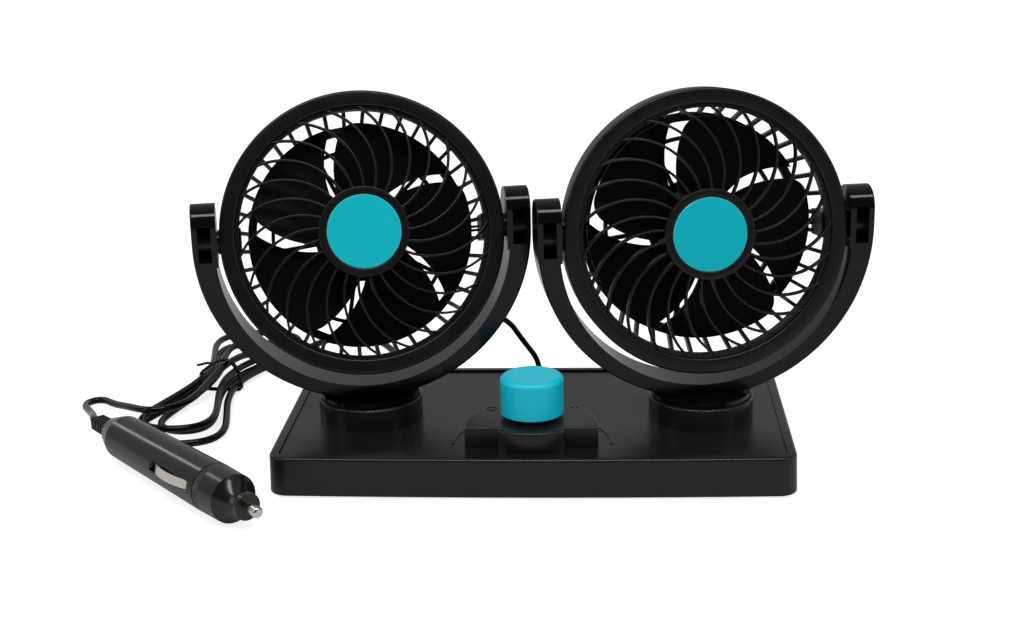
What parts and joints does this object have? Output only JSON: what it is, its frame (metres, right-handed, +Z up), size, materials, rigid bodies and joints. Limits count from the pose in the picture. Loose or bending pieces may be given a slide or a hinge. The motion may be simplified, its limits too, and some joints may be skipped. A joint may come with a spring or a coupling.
{
  "type": "car fan",
  "caption": "Twin-head fan for a vehicle: caged fans in swivelling forks on a weighted base, speed knob, tied cord and 12 V plug.",
  "frame": {"origin": "centre of the base's underside, on the surface that the base stands on", "axes": "+X to the viewer's right along the base, +Y away from the viewer, +Z up"},
  "size_m": [0.3694, 0.2537, 0.1627],
  "materials": {
    "housing_plastic": "satin moulded ABS",
    "frame_plastic": "glossy moulded ABS",
    "turquoise": "coloured moulded ABS",
    "plug_plastic": "glossy phenolic",
    "switch_plastic": "moulded nylon",
    "cord_black": "smooth PVC",
    "rubber": "soft rubber",
    "steel": "zinc plated",
    "nickel": "nickel plated",
    "ceramic": "white ceramic",
    "wire_red": "PVC insulation",
    "glass": "clear glass"
  },
  "bodies": {
    "base": {"base_housing": "housing_plastic", "base_cover": "housing_plastic", "cover_screws": "steel", "grip_pad": "rubber", "rotary_switch": "switch_plastic", "switch_nut": "steel", "speed_resistor": "ceramic", "lead_grommets": "rubber", "strain_relief": "cord_black", "left_head_lead": "cord_black", "power_cord_lead_in": "cord_black", "power_cord_hank": "cord_black", "power_cord_lead_out": "cord_black", "twist_tie": "cord_black", "plug_boot": "cord_black", "plug_body": "plug_plastic", "plug_nose": "plug_plastic", "side_contacts": "nickel", "tip_spring": "steel"},
    "knob": {"speed_knob": "turquoise", "switch_shaft": "steel"},
    "contact_tip": {"plug_tip": "nickel", "plug_fuse": "glass"},
    "left_yoke_frame": {"left_yoke": "frame_plastic", "left_lead_gland": "rubber", "left_swivel_washer": "steel", "left_swivel_screw": "steel"},
    "left_head": {"left_front_guard": "frame_plastic", "left_hub_badge": "turquoise", "left_rear_cage": "frame_plastic", "left_motor_can": "steel", "left_motor_cap": "switch_plastic", "left_motor_screws": "steel", "left_motor_cover": "frame_plastic", "left_motor_wires": "wire_red"},
    "left_fan": {"left_impeller": "frame_plastic", "left_motor_shaft": "steel"},
    "right_yoke_frame": {"right_yoke": "frame_plastic", "right_lead_gland": "rubber", "right_swivel_washer": "steel", "right_swivel_screw": "steel"},
    "right_head": {"right_front_guard": "frame_plastic", "right_hub_badge": "turquoise", "right_rear_cage": "frame_plastic", "right_motor_can": "steel", "right_motor_cap": "switch_plastic", "right_motor_screws": "steel", "right_motor_cover": "frame_plastic", "right_motor_wires": "wire_red"},
    "right_fan": {"right_impeller": "frame_plastic", "right_motor_shaft": "steel"}
  },
  "joints": [
    {"name": "knob_turn", "type": "hinge", "parent": "base", "child": "knob", "pos_m": [0, -0.03, 0.035], "axis": [0, 0, -1], "range_deg": [0, 130]},
    {"name": "tip_press", "type": "slide", "parent": "base", "child": "contact_tip", "axis": [-0.6895, 0.7243, 0], "range_m": [0, 0.003], "stiffness_N_per_m": 400, "deforming": ["tip_spring"]},
    {"name": "left_swivel", "type": "hinge", "parent": "base", "child": "left_yoke_frame", "pos_m": [-0.0736, -0.0035, 0.027], "axis": [0, 0, 1], "range_deg": [-102, 78], "deforming": ["left_head_lead"]},
    {"name": "left_tilt", "type": "hinge", "parent": "left_yoke_frame", "child": "left_head", "pos_m": [-0.0736, -0.0035, 0.101], "axis": [-0.9781, -0.2079, 0], "range_deg": [-68, 32]},
    {"name": "left_fan_spin", "type": "hinge", "parent": "left_head", "child": "left_fan", "pos_m": [-0.0736, -0.0035, 0.101], "axis": [0.1977, -0.9303, 0.309], "continuous": true},
    {"name": "right_swivel", "type": "hinge", "parent": "base", "child": "right_yoke_frame", "pos_m": [0.0736, -0.0035, 0.027], "axis": [0, 0, 1], "range_deg": [-99.5, 80.5]},
    {"name": "right_tilt", "type": "hinge", "parent": "right_yoke_frame", "child": "right_head", "pos_m": [0.0736, -0.0035, 0.101], "axis": [-0.9863, -0.165, 0], "range_deg": [-57.5, 42.5]},
    {"name": "right_fan_spin", "type": "hinge", "parent": "right_head", "child": "right_fan", "pos_m": [0.0736, -0.0035, 0.101], "axis": [0.1636, -0.9778, 0.1305], "continuous": true}
  ]
}
